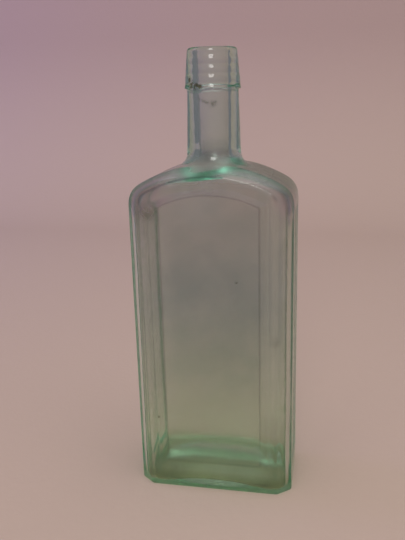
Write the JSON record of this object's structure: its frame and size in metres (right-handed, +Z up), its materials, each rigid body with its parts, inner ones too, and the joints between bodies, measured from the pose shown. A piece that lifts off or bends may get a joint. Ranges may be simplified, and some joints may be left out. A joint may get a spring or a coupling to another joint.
{
  "type": "medicine bottle",
  "caption": "Tall rectangular aqua glass bottle with cut corners, arched shoulders, sunken arched front panel, sunken side panels, round neck and tapered applied lip.",
  "frame": {"origin": "middle of the base, on the plane that the bottle stands on", "axes": "+Z up along the neck; the sunken arched front panel faces -Y; +X runs along the body's width"},
  "size_m": [0.0804, 0.043, 0.222],
  "materials": {
    "aqua_glass": "smooth hand-blown glass, slightly wavy, deeper green where it is thick"
  },
  "bodies": {
    "root": {"blown_bottle": "aqua_glass", "applied_lip": "aqua_glass"}
  },
  "joints": []
}
